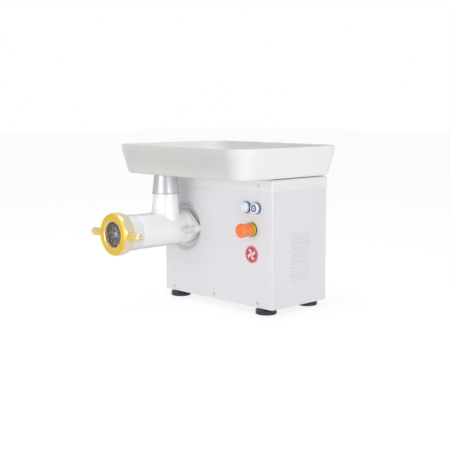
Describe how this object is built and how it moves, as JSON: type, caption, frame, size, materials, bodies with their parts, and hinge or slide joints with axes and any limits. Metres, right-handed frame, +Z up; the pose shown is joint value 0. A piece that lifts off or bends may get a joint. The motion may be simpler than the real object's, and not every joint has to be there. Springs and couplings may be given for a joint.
{
  "type": "electric meat grinder",
  "caption": "Bench electric meat grinder: sheet casing with worm-gear motor, forward barrel head with feed screw, knife, plate and ring nut, tray over the neck.",
  "frame": {"origin": "on the bench, under the middle of the whole machine", "axes": "+X right along the casing front, -Y the way the head points, +Z up"},
  "size_m": [0.531, 0.5208, 0.4529],
  "materials": {
    "white_sheet": "satin powder coat",
    "white_tray": "moulded, softly glossy",
    "zinc_sheet": "zinc plated",
    "screw_steel": "bright",
    "bolt_steel": "zinc plated",
    "foot_rubber": "moulded",
    "cast_grey": "painted casting",
    "cast_head": "fine blasted casting",
    "polished_steel": "polished",
    "tool_steel": "ground",
    "bearing_steel": "ground",
    "bronze": "machined",
    "ring_brass": "cast and turned",
    "copper": "enamelled wire",
    "core_steel": "laminated",
    "black_plastic": "moulded",
    "grey_plastic": "moulded",
    "white_button": "clear boot over white",
    "blue_ring": "moulded",
    "stop_orange": "moulded",
    "stop_yellow": "moulded",
    "badge_red": "printed",
    "seal_rubber": "moulded"
  },
  "bodies": {
    "root": {"body_shell": "white_sheet", "base_plate": "zinc_sheet", "rear_panel": "white_sheet", "top_cover": "white_sheet", "casing_screws": "screw_steel", "rubber_feet": "foot_rubber", "foot_screws": "bolt_steel", "gearbox_housing": "cast_grey", "gearbox_cover": "cast_grey", "gearbox_cover_bolts": "bolt_steel", "frame_bolts": "bolt_steel", "head_socket": "cast_head", "shaft_seal": "seal_rubber", "worm_end_cap": "cast_grey", "bearing_outer_rings": "bearing_steel", "motor_frame": "cast_grey", "stator_core": "core_steel", "stator_windings": "copper", "drive_end_shield": "cast_grey", "fan_end_shield": "cast_grey", "fan_cowl": "grey_plastic", "motor_cradle": "zinc_sheet", "terminal_box": "grey_plastic", "run_capacitor": "grey_plastic", "contactor": "grey_plastic", "cable_gland": "black_plastic", "lock_nuts": "bolt_steel", "button_bezels": "blue_ring", "control_springs": "tool_steel", "contact_blocks": "black_plastic", "stop_base": "black_plastic", "stop_collar": "stop_yellow", "badge": "badge_red", "grinder_head": "cast_head", "head_bush": "bronze", "head_studs": "screw_steel", "plate_pin": "tool_steel", "tray_rests": "seal_rubber"},
    "drive": {"auger": "cast_head", "knife": "tool_steel", "output_shaft": "bearing_steel", "wheel_key": "tool_steel", "worm_wheel": "bronze", "output_bearing_inners": "bearing_steel"},
    "rotor": {"rotor_shaft": "tool_steel", "rotor_core": "core_steel", "cooling_fan": "black_plastic", "rotor_bearing_inners": "bearing_steel"},
    "plate": {"grinder_plate": "tool_steel"},
    "ring": {"ring_nut": "ring_brass"},
    "tray": {"feed_tray": "white_tray", "tray_collar": "polished_steel"},
    "start": {"start_button": "white_button"},
    "reverse": {"reverse_button": "white_button"},
    "plunger": {"stop_plunger": "black_plastic"},
    "stop_head": {"stop_cap": "stop_orange"},
    "washer_left": {"clamp_washer_left": "screw_steel"},
    "washer_right": {"clamp_washer_right": "screw_steel"},
    "nut_left": {"wing_nut_left": "screw_steel"},
    "nut_right": {"wing_nut_right": "screw_steel"}
  },
  "joints": [
    {"name": "rotor_spin", "type": "hinge", "parent": "root", "child": "rotor", "pos_m": [-0.1151, 0.1116, 0.1455], "axis": [1, 0, 0], "continuous": true},
    {"name": "drive_spin", "type": "hinge", "parent": "root", "child": "drive", "pos_m": [-0.1151, 0.0026, 0.2135], "axis": [0, 1, 0], "continuous": true},
    {"name": "plate_slide", "type": "slide", "parent": "root", "child": "plate", "axis": [0, -1, 0], "range_m": [0, 0.0121]},
    {"name": "ring_turn", "type": "hinge", "parent": "plate", "child": "ring", "pos_m": [-0.1151, -0.2604, 0.2135], "axis": [0, -1, 0], "range_deg": [0, 1440]},
    {"name": "tray_lift", "type": "slide", "parent": "root", "child": "tray", "axis": [0, 0, 1], "range_m": [0, 0.06]},
    {"name": "start_press", "type": "slide", "parent": "root", "child": "start", "axis": [0, 1, 0], "range_m": [0, 0.0035], "stiffness_N_per_m": 400, "springref_m": -0.003, "deforming": ["control_springs"]},
    {"name": "reverse_press", "type": "slide", "parent": "root", "child": "reverse", "axis": [0, 1, 0], "range_m": [0, 0.0035], "stiffness_N_per_m": 400, "springref_m": -0.003, "deforming": ["control_springs"]},
    {"name": "stop_press", "type": "slide", "parent": "root", "child": "plunger", "axis": [0, 1, 0], "range_m": [0, 0.005], "stiffness_N_per_m": 600, "springref_m": -0.004, "deforming": ["control_springs"]},
    {"name": "stop_twist", "type": "hinge", "parent": "plunger", "child": "stop_head", "pos_m": [0.1594, 0.0026, 0.2299], "axis": [0, 1, 0], "range_deg": [0, 45], "stiffness_Nm_per_rad": 0.05, "springref_deg": -5.73},
    {"name": "washer_left_slide", "type": "slide", "parent": "root", "child": "washer_left", "axis": [0, -1, 0], "range_m": [0, 0.0061]},
    {"name": "nut_left_turn", "type": "hinge", "parent": "washer_left", "child": "nut_left", "pos_m": [-0.1771, -0.0174, 0.2135], "axis": [0, -1, 0], "range_deg": [0, 1440]},
    {"name": "washer_right_slide", "type": "slide", "parent": "root", "child": "washer_right", "axis": [0, -1, 0], "range_m": [0, 0.0061]},
    {"name": "nut_right_turn", "type": "hinge", "parent": "washer_right", "child": "nut_right", "pos_m": [-0.0531, -0.0174, 0.2135], "axis": [0, -1, 0], "range_deg": [0, 1440]}
  ],
  "couplings": [
    {"joint": "drive_spin", "follows": "rotor_spin", "ratio": 0.083333},
    {"joint": "plate_slide", "follows": "ring_turn", "m_per_rad": 0.00047746},
    {"joint": "washer_left_slide", "follows": "nut_left_turn", "m_per_rad": 0.00023873},
    {"joint": "washer_right_slide", "follows": "nut_right_turn", "m_per_rad": 0.00023873}
  ]
}
